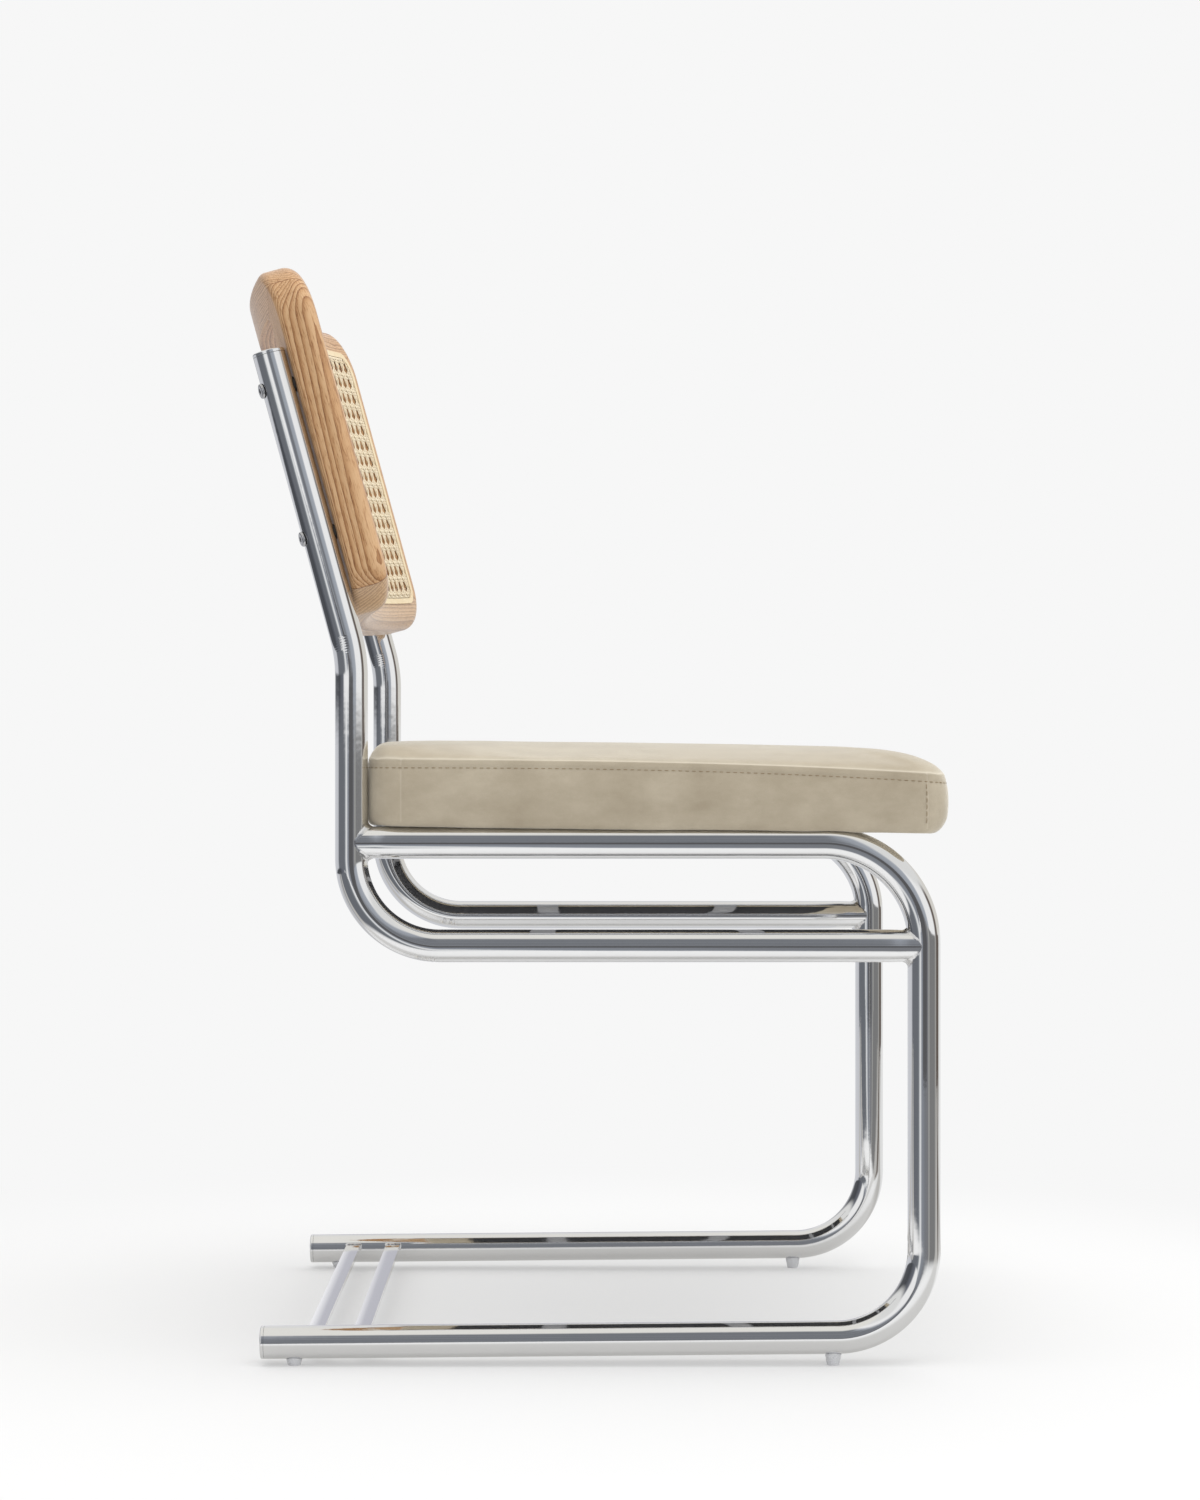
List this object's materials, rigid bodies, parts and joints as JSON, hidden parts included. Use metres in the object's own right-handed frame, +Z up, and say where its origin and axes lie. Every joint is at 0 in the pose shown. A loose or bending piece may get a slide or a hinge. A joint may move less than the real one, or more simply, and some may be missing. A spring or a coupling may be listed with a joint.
{
  "type": "dining chair",
  "caption": "Cantilever dining chair with bent chromed tube side frames, a curved wooden back frame filled with woven cane, and a boxed velvet seat cushion.",
  "frame": {"origin": "on the floor, at the middle of the chair's width and depth", "axes": "+Z up, -Y to the front of the chair, +X to the sitter's left"},
  "size_m": [0.4662, 0.5534, 0.8413],
  "materials": {
    "chrome_tube": "polished chrome plate on steel",
    "clear_plastic": "translucent moulded plastic",
    "lacquered_wood": "satin lacquered open-grained hardwood",
    "bare_wood": "bare dowel wood",
    "cane": "natural woven cane and reed",
    "plated_steel": "plated steel",
    "plywood": "raw plywood",
    "foam": "cut polyurethane foam",
    "velvet": "short-pile velvet",
    "dust_cloth": "black non-woven cloth"
  },
  "bodies": {
    "root": {"back_bottom_rail": "lacquered_wood", "back_dowels": "bare_wood", "back_inserts": "plated_steel", "back_screws": "plated_steel", "back_spacers": "plated_steel", "back_stile_left": "lacquered_wood", "back_stile_right": "lacquered_wood", "back_top_rail": "lacquered_wood", "back_tube_cap_left": "chrome_tube", "back_tube_cap_right": "chrome_tube", "back_tube_left": "chrome_tube", "back_tube_right": "chrome_tube", "cane_panel": "cane", "cane_spline": "cane", "dust_cover": "dust_cloth", "floor_bar_front": "chrome_tube", "floor_bar_rear": "chrome_tube", "glide_front_left": "clear_plastic", "glide_front_right": "clear_plastic", "glide_rear_left": "clear_plastic", "glide_rear_right": "clear_plastic", "leg_tube_left": "chrome_tube", "leg_tube_right": "chrome_tube", "runner_cap_left": "chrome_tube", "runner_cap_right": "chrome_tube", "seat_board": "plywood", "seat_bolts": "plated_steel", "seat_cover": "velvet", "seat_cross_bar_front": "chrome_tube", "seat_cross_bar_rear": "chrome_tube", "seat_foam": "foam", "seat_t_nuts": "plated_steel"}
  },
  "joints": []
}
